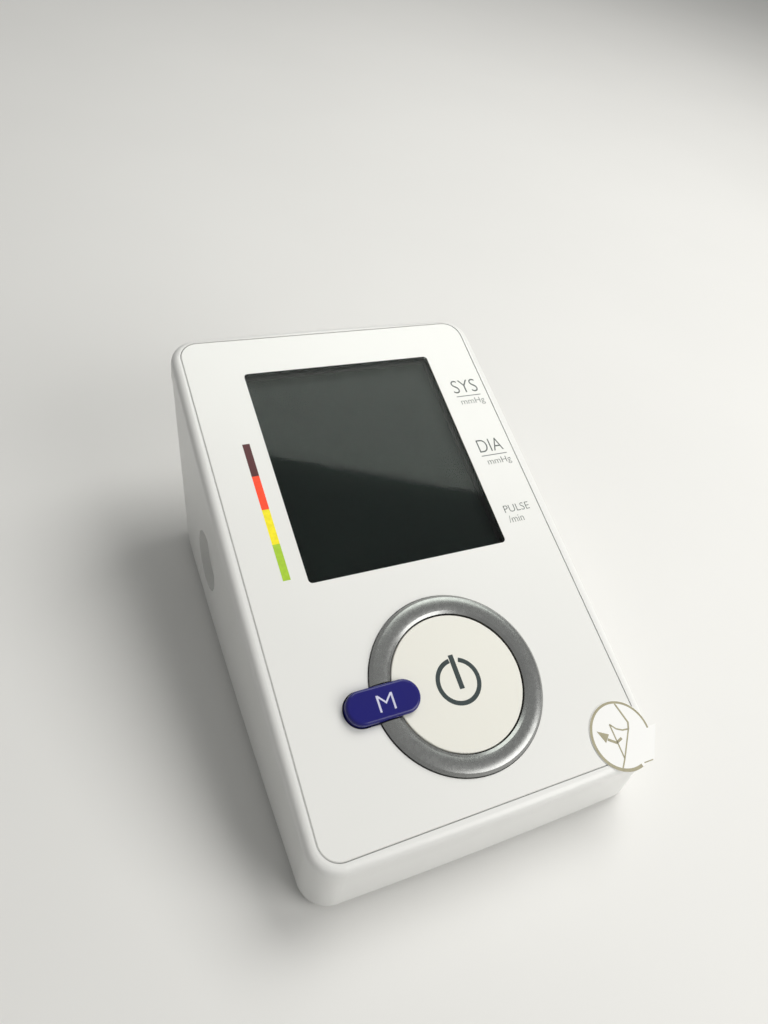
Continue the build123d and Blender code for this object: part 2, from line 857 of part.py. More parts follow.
def make_bottom_case():
    """Lower half of the housing: leaning back wall, battery bay, bosses and the cradles inside."""
    parting_edge = parting * pillow(face_length, parting_reveal)
    base_edge = Plane(origin=(0, base_mid, foot_height)) * pillow(base_length, parting_reveal)
    outer = loft([base_edge, parting_edge], ruled=True)
    shell = fillet(outer.faces().sort_by(Axis.Z)[0].edges(), base_round)
    inner_top = parting * pillow(face_length, wall)
    inner_base = Plane(origin=(0, base_mid, floor_top)) * pillow(base_length, wall)
    shell -= loft([inner_base, inner_top], ruled=True)
    lip = pillow(face_length, lip_set_in) - pillow(face_length, wall - lip_step)
    shell += extrude(Pos(0, 0, -lip_root) * (parting * lip), lip_root + lip_height, dir=up)
    fittings = bay_walls() + cradles() + supply_pocket()
    for x, y, top in case_screw_places():
        fittings += disc(case_boss_radius, foot_height, top, x, y)
    pad_back = dish_floor + socket_pad
    pad_radius = socket_dish_radius + socket_pad
    fittings += rod_x(pad_radius, left_wall + parting_reveal, pad_back, socket_back, socket_height)
    shell += fittings & outer
    shell -= bay_hollows()
    for x, y, top in case_screw_places():
        seat = top + case_screw_bite - case_screw_length
        shell -= disc(case_head_radius + head_hole_gap, 0, seat, x, y)
        shell -= disc(case_screw_radius + screw_hole_gap, 0, top + past, x, y)
    for x, y in foot_places():
        shell -= disc(foot_radius + foot_seat_gap, 0, foot_height + foot_seat, x, y)
    shell -= rod_x(socket_dish_radius, left_wall - past, dish_floor, socket_back, socket_height)
    hole_radius = socket_radius + socket_seat_gap
    shell -= rod_x(hole_radius, left_wall, pad_back + past, socket_back, socket_height)
    shell -= rod_x(dc_nose_radius + dc_nose_gap, dc_seat - past, right_wall + past, dc_back, dc_height)
    keep("bottom_case", shell)


def make_case_screws():
    """Four long-necked holes take the case screws from below."""
    screw = pan_screw(case_head_radius, case_head_height, case_screw_radius, case_screw_length)
    sunk = case_screw_bite - case_screw_length
    keep("case_screws", *[Pos(x, y, top + sunk) * screw for x, y, top in case_screw_places()])


def make_feet():
    """Four rubber feet in their seats."""
    foot = disc(foot_radius, 0, foot_height + foot_seat)
    foot = fillet(foot.edges().sort_by(Axis.Z)[0], foot_edge_round)
    keep("rubber_feet", *[Pos(x, y, 0) * foot for x, y in foot_places()])


def make_battery_cover():
    """Cover in the base: round front edge that it pivots on, two tabs and a snap finger."""
    cover = slab(-cover_half_width, cover_half_width, cover_front, cover_back, foot_height, cover_top)
    front_edges = cover.edges().filter_by(Axis.X).group_by(Axis.Y)[0]
    cover = fillet(front_edges, (cover_thickness - cover_edge_flat) / 2)
    neck_front = cover_front + tab_play
    neck_back = neck_front + tab_thickness
    half = tab_width / 2
    for x, _ in left_and_right(tab_across, 0):
        cover += slab(x - half, x + half, neck_front, neck_back, pivot_height, tab_low + tab_thickness)
        tip = cover_front - tab_reach
        cover += slab(x - half, x + half, tip, neck_back, tab_low, tab_low + tab_thickness)
    half = latch_width / 2
    finger_back = cover_back - latch_inset
    finger_front = finger_back - latch_thickness
    nose_low = pad_top + latch_play
    finger_top = nose_low + latch_ramp
    cover += slab(-half, half, finger_front, finger_back, cover_top - join, finger_top)
    corners = (
        (finger_back - join, nose_low),
        (finger_back + cover_gap + latch_nose, nose_low),
        (finger_back, finger_top),
        (finger_back - join, finger_top),
    )
    cover += extrude(Plane.YZ * make_face(Polyline(*corners, close=True)), half, both=True)
    grip_low = foot_height + grip_depth - grip_radius
    cover -= rod_x(grip_radius, -grip_width / 2, grip_width / 2, cover_back - grip_inset, grip_low)
    keep("battery_cover", cover)


def make_cells():
    """Round cells side by side, every second one turned round."""
    body = fillet(rod_y(cell_diameter / 2, 0, cell_body_length, 0, 0).edges(), cell_edge_round)
    nub_end = cell_body_length + cell_nub_length
    cell = body + rod_y(cell_nub_radius, cell_body_length - join, nub_end, 0, 0)
    front = bay_front + contact_thickness
    back = bay_back - contact_thickness
    cells = []
    for n, x in enumerate(cell_places()):
        turned = n % 2 == 1
        place = Pos(x, front + nub_end, cell_height) * Rot(0, 0, 180) if turned else None
        cells.append((place or Pos(x, back - nub_end, cell_height)) * cell)
    keep("battery_cells", *cells)


def make_contacts():
    """A flat contact at each end of every cell, and a coil spring on the flat end."""
    front = bay_front + contact_thickness
    back = bay_back - contact_thickness
    half = contact_width / 2
    low, high = cell_height - half, cell_height + half
    spring = helix_spring(
        contact_spring_radius,
        contact_spring_wire,
        contact_spring_turns,
        contact_spring_length,
    )
    plates = []
    springs = []
    for n, x in enumerate(cell_places()):
        plates.append(slab(x - half, x + half, bay_front, front, low, high))
        plates.append(slab(x - half, x + half, back, bay_back, low, high))
        if n % 2:
            springs.append(Pos(x, back, cell_height) * Rot(90, 0, 0) * spring)
        else:
            springs.append(Pos(x, front, cell_height) * Rot(-90, 0, 0) * spring)
    keep("battery_contacts", *plates)
    keep("battery_springs", *springs)


def make_motor():
    """Motor can, its two magnets, the rubber damper round it and the rotor on its shaft."""
    y, z = pump_back, pump_height
    can = fillet(rod_x(motor_radius, motor_left, motor_right, y, z).edges(), motor_edge_round)
    inner_radius = motor_radius - can_wall
    can -= rod_x(inner_radius, motor_left + can_end, motor_right - can_end, y, z)
    can += rod_x(bearing_radius, motor_right - join, motor_right + bearing_length, y, z)
    hole_end = motor_right + bearing_length - bearing_cap
    can -= rod_x(shaft_radius + shaft_clearance, motor_left - past, hole_end, y, z)
    keep("motor_can", can)
    magnet_left = motor_left + magnet_inset
    magnet_right = magnet_left + magnet_length
    magnets = rod_x(inner_radius - magnet_fit, magnet_left, magnet_right, y, z)
    magnets -= rod_x(inner_radius - magnet_thickness, magnet_left - past, magnet_right + past, y, z)
    half = magnet_pole_gap / 2
    poles = slab(motor_left, motor_right, y - half, y + half, z - motor_radius, z + motor_radius)
    keep("motor_magnets", magnets - poles)
    core_left = motor_left + armature_inset
    core_right = core_left + armature_length
    core = rod_x(armature_radius, core_left, core_right, y, z)
    half = armature_slot_width / 2
    slot = slab(core_left - past, core_right + past, -half, half, armature_slot_floor, motor_radius)
    for n in range(armature_slots):
        core -= Pos(0, y, z) * Rot(n * 360 / armature_slots, 0, 0) * slot
    rotor = core + rod_x(shaft_radius, motor_left - shaft_reach, hole_end - shaft_end_gap, y, z)
    rotor += rod_x(commutator_radius, core_right - join, core_right + commutator_length, y, z)
    keep("motor_rotor", rotor)
    damper_left = motor_left + damper_inset
    damper = rod_x(motor_radius + damper_thickness, damper_left, damper_left + damper_length, y, z)
    keep("motor_damper", damper - rod_x(motor_radius, motor_left, motor_right, y, z))


def head_layer(left, right, inset=0.0):
    """Rounded square layer of the pump head between two places along X."""
    side = pump_head_side - 2 * inset
    outline = RectangleRounded(side, side, pump_head_corner - inset)
    return Pos(left, pump_back, pump_height) * Rot(0, 90, 0) * extrude(outline, right - left)


def make_pump_head():
    """Pump head in three layers with its outlet nozzle, and the crank that drives it."""
    y, z = pump_back, pump_height
    head = head_layer(head_left, motor_left - pump_head_gap)
    for place in layer_places:
        left = head_left + place
        right = left + layer_groove
        groove = slab(left, right, y - pump_head_side, y + pump_head_side, z - pump_head_side, z + pump_head_side)
        head -= groove - head_layer(left - past, right + past, layer_groove_depth)
    crank_left = motor_left - crank_inset - crank_length
    room_radius = crank_radius + crank_offset + crank_room
    head -= rod_x(room_radius, crank_left - crank_end_room, motor_left - crank_end_room, y, z)
    head -= rod_x(shaft_radius + shaft_room, motor_left - shaft_reach - past, motor_left + past, y, z)
    nozzle_tip = head_left - nozzle_length
    head += rod_x(nozzle_radius, nozzle_tip, head_left + join, manifold_back, socket_height)
    head -= rod_x(nozzle_bore, nozzle_tip - past, head_left + nozzle_depth, manifold_back, socket_height)
    keep("pump_head", head)
    crank = rod_x(crank_radius, crank_left, crank_left + crank_length, y + crank_offset, z)
    crank += rod_x(crank_hub_radius, crank_left, crank_left + crank_hub_length, y, z)
    crank -= rod_x(shaft_radius, crank_left - past, motor_left, y, z)
    keep("pump_crank", crank)


def make_air_socket():
    """Air socket: seat for the hose plug, flange, gasket and a barb towards the manifold."""
    y, z = socket_back, socket_height
    pad_back = dish_floor + socket_pad
    flange_left = pad_back + gasket_thickness
    body = rod_x(socket_radius, dish_floor, socket_end, y, z)
    body += rod_x(socket_flange_radius, flange_left, flange_left + socket_flange_thickness, y, z)
    body += rod_y(nozzle_radius, y + socket_radius - past, barb_end, air_line_across, z)
    bore_end = dish_floor + socket_bore_depth
    body -= rod_x(socket_bore_radius, dish_floor - past, bore_end, y, z)
    body -= rod_x(nozzle_bore, bore_end - past, air_line_across, y, z)
    body -= rod_y(nozzle_bore, y, barb_end + past, air_line_across, z)
    keep("air_socket", body)
    gasket = rod_x(socket_flange_radius, pad_back, flange_left, y, z)
    gasket -= rod_x(socket_radius + gasket_gap, pad_back - past, flange_left + past, y, z)
    keep("air_socket_gasket", gasket)


def make_manifold():
    """Four-way block with its nozzles, and the two short tubes to the socket and the pump."""
    x, y, z = air_line_across, manifold_back, socket_height
    half = manifold_side / 2
    reach = half + nozzle_length
    low = manifold_low
    body = slab(x - half, x + half, y - half, y + half, low, manifold_top)
    body = fillet(body.edges().filter_by(Axis.Z), manifold_edge_round)
    body += rod_y(nozzle_radius, y - reach, y, x, z)
    body += rod_x(nozzle_radius, x, x + reach, y, z)
    body += disc(nozzle_radius, low - manifold_drop, manifold_tip, x, y)
    body -= rod_y(nozzle_bore, y - reach - past, y, x, z)
    body -= rod_x(nozzle_bore, x, x + reach + past, y, z)
    body -= disc(nozzle_bore, low - manifold_drop - past, manifold_tip + past, x, y)
    keep("air_manifold", body)
    socket_side = socket_back + socket_radius + tube_end_gap
    socket_tube = rod_y(tube_radius, socket_side, y - half - tube_end_gap, x, z)
    socket_tube -= rod_y(nozzle_radius, socket_side - past, y, x, z)
    pump_tube = rod_x(tube_radius, x + half + tube_end_gap, head_left - tube_end_gap, y, z)
    pump_tube -= rod_x(nozzle_radius, x, head_left + past, y, z)
    keep("coupling_tubes", socket_tube, pump_tube)


def make_release_valve():
    """Release valve: coil body, sprung plunger on its seat, and the tube from the manifold."""
    x, z = valve_across, valve_height
    tip = valve_back_end + valve_nozzle_length
    body = rod_y(valve_radius, valve_front_end, valve_back_end, x, z)
    groove_back = valve_back_end - valve_groove_inset - valve_groove
    for start in (valve_front_end + valve_groove_inset, groove_back):
        end = start + valve_groove
        groove = rod_y(valve_radius + past, start, end, x, z)
        body -= groove - rod_y(valve_radius - valve_groove_depth, start - past, end + past, x, z)
    body += rod_y(nozzle_radius, valve_back_end - join, tip, x, z)
    chamber_front = valve_front_end + valve_end_wall
    chamber_back = valve_back_end - valve_end_wall
    body -= rod_y(valve_bore_radius, chamber_front, chamber_back, x, z)
    body -= rod_y(nozzle_bore, chamber_back - past, tip + past, x, z)
    keep("release_valve", body)
    plunger_back = chamber_back - valve_play
    plunger_front = plunger_back - valve_plunger_length
    plunger = rod_y(valve_plunger_radius, plunger_front, plunger_back, x, z)
    keep("valve_plunger", chamfer(plunger.edges(), valve_plunger_bevel))
    spring_radius = valve_bore_radius - valve_spring_wire - valve_spring_gap
    spring = helix_spring(spring_radius, valve_spring_wire, valve_spring_turns, valve_spring_length)
    keep("valve_spring", Pos(x, chamber_front + valve_play / 2, z) * Rot(-90, 0, 0) * spring)
    route = FilletPolyline(
        (air_line_across, manifold_back, manifold_low - tube_end_gap),
        (air_line_across, manifold_back, z),
        (x, manifold_back - valve_tube_shift, z),
        (x, valve_back_end + tube_end_gap, z),
        radius=tube_bend,
    )
    keep("valve_tube", tube_along(route, tube_radius, nozzle_radius))


def make_pressure_sensor():
    """Pressure sensor under the board, with the tube that rises to it from the manifold."""
    x, y, low = air_line_across, sensor_row, sensor_low
    sensor = block(sensor_side, sensor_side, low, board_low, x, y)
    sensor += disc(nozzle_radius, sensor_tip, low + join, x, y)
    sensor -= disc(nozzle_bore, sensor_tip - past, low + past, x, y)
    keep("pressure_sensor", on_face(sensor))
    rise = FilletPolyline(
        face.from_local_coords((x, y, low - tube_end_gap)),
        sensor_tube_end,
        Vector(x, manifold_back, manifold_tip + sensor_nozzle_gap),
        Vector(x, manifold_back, manifold_top + tube_end_gap),
        radius=sensor_tube_bend,
    )
    keep("sensor_tube", tube_along(rise, sensor_tube_radius, nozzle_radius))


def make_dc_socket():
    """Supply socket in the right wall: square body, round nose and centre pin."""
    half = dc_body_width / 2
    left = dc_seat - dc_body_length
    body = slab(left, dc_seat, dc_back - half, dc_back + half, dc_low, dc_low + dc_body_height)
    mouth = right_wall - dc_nose_inset
    hole_end = mouth - dc_depth
    body += rod_x(dc_nose_radius, dc_seat - join, mouth, dc_back, dc_height)
    body -= rod_x(dc_bore_radius, hole_end, mouth + past, dc_back, dc_height)
    body += rod_x(dc_pin_radius, hole_end - join, mouth - dc_pin_inset, dc_back, dc_height)
    keep("dc_socket", body)


def make_film_tab():
    """Pull tab of the protective film: a thin disc at the face's corner with a tail over the edge."""
    x = body_width / 2 - tab_side_border
    y = tab_front_border - face_length / 2
    tail_length = tab_side_border + tail_overhang
    tail = Rectangle(tail_length, tail_width, align=(Align.MIN, Align.MAX))
    end_cut = Pos(tail_length, 0) * Rot(0, 0, -tail_turn) * Rectangle(large, large, align=(Align.MIN, Align.CENTER))
    outline = Circle(tab_circle_radius) + (tail - end_cut)
    keep("film_pull_tab", on_face(Pos(x, y, 0) * extrude(outline, film_thickness)))


make_top_case()
make_face_panel()
make_display()
make_key_ring()
make_power_key()
make_memory_key()
make_switches()
make_board()
make_bottom_case()
make_case_screws()
make_feet()
make_battery_cover()
make_cells()
make_contacts()
make_motor()
make_pump_head()
make_air_socket()
make_manifold()
make_release_valve()
make_pressure_sensor()
make_dc_socket()
make_film_tab()

for name, solids in pieces.items():
    export_step(Compound(solids), f"parts/{name}.step")
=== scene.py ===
"""Looks of the upper arm blood pressure monitor, made round its solids. Lengths are in metres unless said."""

import json
from collections import namedtuple
from math import cos, radians, sin

import bmesh
import bpy
from mathutils import Matrix, Vector


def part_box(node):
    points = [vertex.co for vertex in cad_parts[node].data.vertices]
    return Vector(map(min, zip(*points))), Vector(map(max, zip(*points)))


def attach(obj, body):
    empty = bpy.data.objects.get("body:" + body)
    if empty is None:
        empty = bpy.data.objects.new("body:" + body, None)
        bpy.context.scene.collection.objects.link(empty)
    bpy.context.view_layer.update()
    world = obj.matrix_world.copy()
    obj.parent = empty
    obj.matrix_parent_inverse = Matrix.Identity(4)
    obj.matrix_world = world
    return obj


MM = 0.001
MICRON = 0.000001

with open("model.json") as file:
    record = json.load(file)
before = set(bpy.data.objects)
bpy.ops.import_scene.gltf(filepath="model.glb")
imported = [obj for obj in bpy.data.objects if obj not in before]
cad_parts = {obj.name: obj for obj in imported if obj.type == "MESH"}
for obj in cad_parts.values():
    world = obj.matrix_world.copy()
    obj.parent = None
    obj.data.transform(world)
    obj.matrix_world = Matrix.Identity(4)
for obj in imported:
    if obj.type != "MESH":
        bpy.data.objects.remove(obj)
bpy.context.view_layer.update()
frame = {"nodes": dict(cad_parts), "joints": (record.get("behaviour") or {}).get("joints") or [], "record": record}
scene = bpy.context.scene
cad = frame["nodes"]
joints = {joint["name"]: joint for joint in frame["joints"]}


# The face: places on it are in mm from the power key's centre, to the right, up the face and outwards

def middle(node):
    """Middle of a node's box."""
    low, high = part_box(node)
    return (low + high) / 2


PANE_THICKNESS = 1.5 * MM
outward = -Vector(joints["power_press"]["axis"]).normalized()
rightward = Vector((1, 0, 0))
upward = outward.cross(rightward)
pane_top = middle("display_window") + outward * PANE_THICKNESS / 2
key_plunger = middle("power_switch_plunger")
key_centre = key_plunger + outward * (pane_top - key_plunger).dot(outward)
FACE = Matrix.Translation(key_centre) @ Matrix((rightward, upward, outward)).transposed().to_4x4()

# Heights over the face, in mm
KEY_TOP = 0.55
MEMORY_KEY_TOP = 2.4
FILM_TOP = 0.2
INK_THICKNESS = 0.02


# Camera: its place, its turn in degrees and its lens in mm

EYE = Vector((-86.44, -116.65, 197.97)) * MM
EYE_TURN = (43.139, -10.527, -22.714)
LENS = 26.885
NEAREST = 0.01


def make_camera():
    """Camera at the photograph's viewing angle."""
    data = bpy.data.cameras.new("camera")
    data.lens = LENS
    data.clip_start = NEAREST
    camera = bpy.data.objects.new("camera", data)
    camera.location = EYE
    camera.rotation_euler = [radians(a) for a in EYE_TURN]
    scene.collection.objects.link(camera)
    scene.camera = camera


# Materials: scales are in cycles per metre

MOTTLE_SPAN = (0.3, 0.7)
GLOSS_SPAN = (0.35, 0.65)
GLOSS_SPREAD = 0.05
PLASTIC_IOR = 1.5
SKIN_DEPTHS = (0.0015, 0.0014, 0.0012)
TUBE_DEPTHS = (0.001, 0.001, 0.001)
METAL_GRAIN = (900.0, 900.0, 60.0)
PANE_IOR = 1.2
DISPLAY_IOR = 1.15
TRACK_SCALE = 160.0
TRACK_WIDTH = 0.05
INK_ROUGHNESS = 0.45


class Finish:
    """A material under construction, with its shader and its place on the object."""

    def __init__(self, name, colour, roughness, metallic=0.0):
        self.material = bpy.data.materials.new(name)
        self.material.use_nodes = True
        self.tree = self.material.node_tree
        self.shader = self.tree.nodes["Principled BSDF"]
        self.set("Roughness", roughness)
        self.set("Base Color", (*colour, 1.0))
        self.set("Metallic", metallic)
        self.place = self.node("ShaderNodeTexCoord").outputs["Object"]

    def set(self, socket, value):
        """Sets one of the shader's values."""
        self.shader.inputs[socket].default_value = value

    def node(self, kind):
        """Adds a node."""
        return self.tree.nodes.new(kind)

    def link(self, source, target):
        """Joins an output to an input."""
        self.tree.links.new(source, target)

    def noise(self, scale, detail=3.0, roughness=0.5, place=None):
        """Noise from 0 to 1."""
        made = self.node("ShaderNodeTexNoise")
        made.inputs["Scale"].default_value = scale
        made.inputs["Detail"].default_value = detail
        made.inputs["Roughness"].default_value = roughness
        self.link(place or self.place, made.inputs["Vector"])
        return made.outputs["Fac"]

    def rough(self, source, low, high, span=(0.0, 1.0)):
        """Roughness that goes from low to high as the source goes over its span."""
        made = self.node("ShaderNodeMapRange")
        for socket, value in zip(("From Min", "From Max", "To Min", "To Max"), (*span, low, high)):
            made.inputs[socket].default_value = value
        self.link(source, made.inputs["Value"])
        self.link(made.outputs["Result"], self.shader.inputs["Roughness"])

    def vary_roughness(self, low, high, scale=60.0):
        """Gloss that drifts over the surface."""
        self.rough(self.noise(scale, detail=4.0), low, high, GLOSS_SPAN)

    def bump(self, height, depth, strength):
        """Fine relief of this depth."""
        made = self.node("ShaderNodeBump")
        made.inputs["Strength"].default_value = strength
        made.inputs["Distance"].default_value = depth
        self.link(height, made.inputs["Height"])
        self.link(made.outputs["Normal"], self.shader.inputs["Normal"])

    def mottle(self, colour, spread, scale=35.0):
        """Base colour that drifts a little over the surface."""
        dark = tuple(c * (1 - spread) for c in colour)
        light = tuple(min(1.0, c * (1 + spread)) for c in colour)
        drift = self.node("ShaderNodeValToRGB")
        drift.color_ramp.interpolation = "EASE"
        for element, place, shade in zip(drift.color_ramp.elements, MOTTLE_SPAN, (dark, light)):
            element.position = place
            element.color = (*shade, 1.0)
        self.link(self.noise(scale), drift.inputs["Fac"])
        self.link(drift.outputs["Color"], self.shader.inputs["Base Color"])


def moulded(name, colour, roughness, spread=0.004, grain=2600.0, depth=3 * MICRON, soft=0.0):
    """Moulded plastic or rubber: slight drift of colour, uneven gloss and the fine grain of the mould."""
    finish = Finish(name, colour, roughness)
    finish.mottle(colour, spread)
    finish.vary_roughness(roughness * (1 - GLOSS_SPREAD), roughness * (1 + GLOSS_SPREAD))
    finish.bump(finish.noise(grain, detail=2.0), depth, strength=0.35)
    finish.set("IOR", PLASTIC_IOR)
    if soft:
        finish.set("Subsurface Weight", soft)
        finish.set("Subsurface Radius", SKIN_DEPTHS)
        finish.set("Subsurface Scale", 1.0)
    return finish.material


def metal(name, colour, roughness):
    """Metal with a drawn or turned grain."""
    finish = Finish(name, colour, roughness, metallic=1.0)
    stretch = finish.node("ShaderNodeMapping")
    stretch.inputs["Scale"].default_value = METAL_GRAIN
    finish.link(finish.place, stretch.inputs["Vector"])
    grain = finish.noise(1.0, detail=4.0, roughness=0.6, place=stretch.outputs["Vector"])
    finish.mottle(colour, spread=0.05, scale=120.0)
    finish.rough(grain, roughness * 0.8, roughness * 1.3)
    finish.bump(grain, 6 * MICRON, strength=0.4)
    return finish.material


def satin_plating(name, colour, roughness):
    """Satin plating: pale, with a very fine grain and a soft highlight."""
    finish = Finish(name, colour, roughness, metallic=1.0)
    finish.mottle(colour, spread=0.03, scale=300.0)
    finish.vary_roughness(0.8 * roughness, roughness, scale=900.0)
    finish.bump(finish.noise(7000.0, detail=2.0), 2 * MICRON, strength=0.3)
    return finish.material


def clear_pane(name, colour):
    """Thin polished plastic that lets the display show."""
    finish = Finish(name, colour, roughness=0.03)
    finish.set("Transmission Weight", 1.0)
    finish.set("IOR", PANE_IOR)
    finish.vary_roughness(0.04, 0.06, scale=25.0)
    return finish.material


def liquid_crystal(name, colour):
    """Display glass that is switched off, with a faint drift."""
    finish = Finish(name, colour, roughness=0.12)
    finish.mottle(colour, spread=0.06, scale=20.0)
    finish.vary_roughness(0.1, 0.16, scale=40.0)
    finish.set("IOR", DISPLAY_IOR)
    return finish.material


def circuit_board(name, mask, mask_lit, track):
    """Solder mask over copper tracks that run along and across."""
    finish = Finish(name, mask, roughness=0.35)
    bands = finish.node("ShaderNodeTexBrick")
    bands.inputs["Scale"].default_value = TRACK_SCALE
    bands.inputs["Mortar Size"].default_value = TRACK_WIDTH
    for socket, colour in (("Color1", mask), ("Color2", mask_lit), ("Mortar", track)):
        bands.inputs[socket].default_value = (*colour, 1.0)
    finish.link(finish.place, bands.inputs["Vector"])
    finish.link(bands.outputs["Color"], finish.shader.inputs["Base Color"])
    finish.bump(bands.outputs["Fac"], 30 * MICRON, strength=0.4)
    return finish.material


def cell_jacket(name, colour):
    """Printed sleeve of a cell, dark with a metallic sheen."""
    finish = Finish(name, colour, roughness=0.28, metallic=0.35)
    finish.mottle(colour, spread=0.1, scale=90.0)
    finish.vary_roughness(0.22, 0.34, scale=200.0)
    return finish.material


def milky_rubber(name, colour):
    """Soft milky tube."""
    finish = Finish(name, colour, roughness=0.4)
    finish.mottle(colour, spread=0.03, scale=200.0)
    finish.set("Subsurface Weight", 0.3)
    finish.set("Subsurface Radius", TUBE_DEPTHS)
    finish.bump(finish.noise(1500.0), 10 * MICRON, strength=0.3)
    return finish.material


def ink(name, colour):
    """Printed ink, slightly uneven."""
    finish = Finish(name, colour, INK_ROUGHNESS)
    finish.mottle(colour, spread=0.06, scale=900.0)
    return finish.material


# Colours
WHITE = (0.8, 0.8, 0.785)
PANEL = (0.82, 0.82, 0.8)
FILM = (0.9, 0.9, 0.89)
CREAM = (0.83, 0.82, 0.755)
NAVY = (0.002, 0.001, 0.14)
BLACK = (0.008, 0.008, 0.009)
SOCKET_GREY = (0.33, 0.33, 0.325)
RUBBER_GREY = (0.11, 0.112, 0.115)
MAGNET_GREY = (0.05, 0.05, 0.055)
PLUNGER_IVORY = (0.6, 0.59, 0.55)
PUMP_IVORY = (0.62, 0.61, 0.57)
SENSOR_BUFF = (0.55, 0.53, 0.47)
TUBE_MILK = (0.74, 0.75, 0.74)
SLEEVE = (0.02, 0.022, 0.026)
PANE = (0.93, 0.95, 0.94)
DISPLAY = (0.008, 0.014, 0.012)
PLATING = (0.3, 0.303, 0.3)
ZINC = (0.55, 0.55, 0.56)
NICKEL = (0.66, 0.65, 0.62)
STEEL = (0.5, 0.5, 0.51)
MASK_GREEN = (0.012, 0.09, 0.035)
MASK_GREEN_LIT = (0.016, 0.12, 0.05)
TRACK_GREEN = (0.03, 0.17, 0.07)

finishes = {
    "case_white": moulded("case_white_plastic", WHITE, roughness=0.3),
    "panel_white": moulded("panel_white_print", PANEL, roughness=0.3, grain=4200.0, depth=6 * MICRON),
    "window_clear": clear_pane("window_pane", PANE),
    "black_plastic": moulded("black_plastic", BLACK, roughness=0.5),
    "lcd_glass": liquid_crystal("display_off", DISPLAY),
    "grey_rubber": moulded(
        "grey_rubber", RUBBER_GREY, roughness=0.75, spread=0.08, grain=1800.0, depth=30 * MICRON
    ),
    "ring_silver": satin_plating("ring_satin_plating", PLATING, roughness=0.3),
    "key_cream": moulded(
        "key_cream_plastic", CREAM, roughness=0.32, grain=3500.0, depth=8 * MICRON, soft=0.05
    ),
    "key_navy": moulded("key_navy_plastic", NAVY, roughness=0.24, spread=0.04, depth=2 * MICRON),
    "switch_plunger": moulded("switch_plunger_plastic", PLUNGER_IVORY, roughness=0.45),
    "board_green": circuit_board("circuit_board", MASK_GREEN, MASK_GREEN_LIT, TRACK_GREEN),
    "screw_steel": metal("screw_zinc", ZINC, roughness=0.32),
    "cell_jacket": cell_jacket("cell_sleeve", SLEEVE),
    "contact_metal": metal("contact_nickel", NICKEL, roughness=0.24),
    "motor_steel": metal("motor_steel", STEEL, roughness=0.35),
    "magnet_grey": moulded("magnet_ferrite", MAGNET_GREY, roughness=0.6, spread=0.1),
    "pump_plastic": moulded("pump_plastic", PUMP_IVORY, roughness=0.5),
    "socket_grey": moulded("socket_grey_plastic", SOCKET_GREY, roughness=0.42),
    "tube_clear": milky_rubber("milky_tube", TUBE_MILK),
    "sensor_body": moulded("sensor_plastic", SENSOR_BUFF, roughness=0.5),
    "film_white": moulded("film_white_print", FILM, roughness=0.4, depth=4 * MICRON),
}
inks = {
    "legend": ink("ink_dark_grey", (0.07, 0.083, 0.078)),
    "symbol": ink("ink_slate", (0.027, 0.041, 0.043)),
    "letter": ink("ink_pale_lavender", (0.62, 0.62, 0.78)),
    "olive": ink("ink_olive_gold", (0.37, 0.34, 0.23)),
    "maroon": ink("ink_maroon", (0.068, 0.004, 0.007)),
    "orange": ink("ink_orange_red", (1.0, 0.055, 0.005)),
    "yellow": ink("ink_yellow", (0.95, 0.81, 0.0)),
    "green": ink("ink_yellow_green", (0.38, 0.6, 0.024)),
}


def dress_cad_nodes():
    """Gives every solid the finish of its slot."""
    for part in frame["record"]["subparts"]:
        node = cad[part["node"]]
        node.data.materials.clear()
        node.data.materials.append(finishes[part["material_slot"]])


# Meshes

ARC_STEPS = 96
LETTER_STEPS = 6
LETTER_THINNING = -0.012
SHARPEST_MITRE = 0.5


def finish_piece(name, mesh, material, body, place):
    """Links a mesh as a piece that rides on a body."""
    mesh.transform(place)
    piece = bpy.data.objects.new(name, mesh)
    mesh.materials.clear()
    mesh.materials.append(material)
    scene.collection.objects.link(piece)
    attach(piece, body)


def on_face(height):
    """Lays flat millimetres on the face, this high above it."""
    return FACE @ Matrix.Scale(MM, 4) @ Matrix.Translation((0, 0, height))


def prism_mesh(name, outlines):
    """Layer of ink from closed outlines in mm, each with its top and its sides."""
    shape = bmesh.new()
    for outline in outlines:
        low = [shape.verts.new((x, y, 0)) for x, y in outline]
        high = [shape.verts.new((x, y, INK_THICKNESS)) for x, y in outline]
        shape.faces.new(high)
        shape.faces.new(low[::-1])
        for n in range(len(low)):
            m = (n + 1) % len(low)
            shape.faces.new((low[n], low[m], high[m], high[n]))
    bmesh.ops.recalc_face_normals(shape, faces=shape.faces)
    mesh = bpy.data.meshes.new(name)
    shape.to_mesh(mesh)
    shape.free()
    return mesh


def arc(centre, radius, start, end):
    """Points along an arc, in degrees."""
    x, y = centre
    turns = [radians(start + (end - start) * n / ARC_STEPS) for n in range(ARC_STEPS + 1)]
    return [(x + radius * cos(a), y + radius * sin(a)) for a in turns]


def stroke(points, width, end_width=None):
    """Outline of a line of this width through the points, with mitred corners."""
    last = len(points) - 1
    left = []
    right = []
    for n, point in enumerate(points):
        here = Vector(point)
        before = Vector(points[max(n - 1, 0)])
        after = Vector(points[min(n + 1, last)])
        into = (here - before).normalized() if n else (after - here).normalized()
        out = (after - here).normalized() if n < last else into
        along = (into + out).normalized()
        wide = width + ((end_width or width) - width) * n / last
        side = Vector((-along.y, along.x)) * wide / 2 / max(SHARPEST_MITRE, along.dot(out))
        left.append(tuple(here + side))
        right.append(tuple(here - side))
    return left + right[::-1]


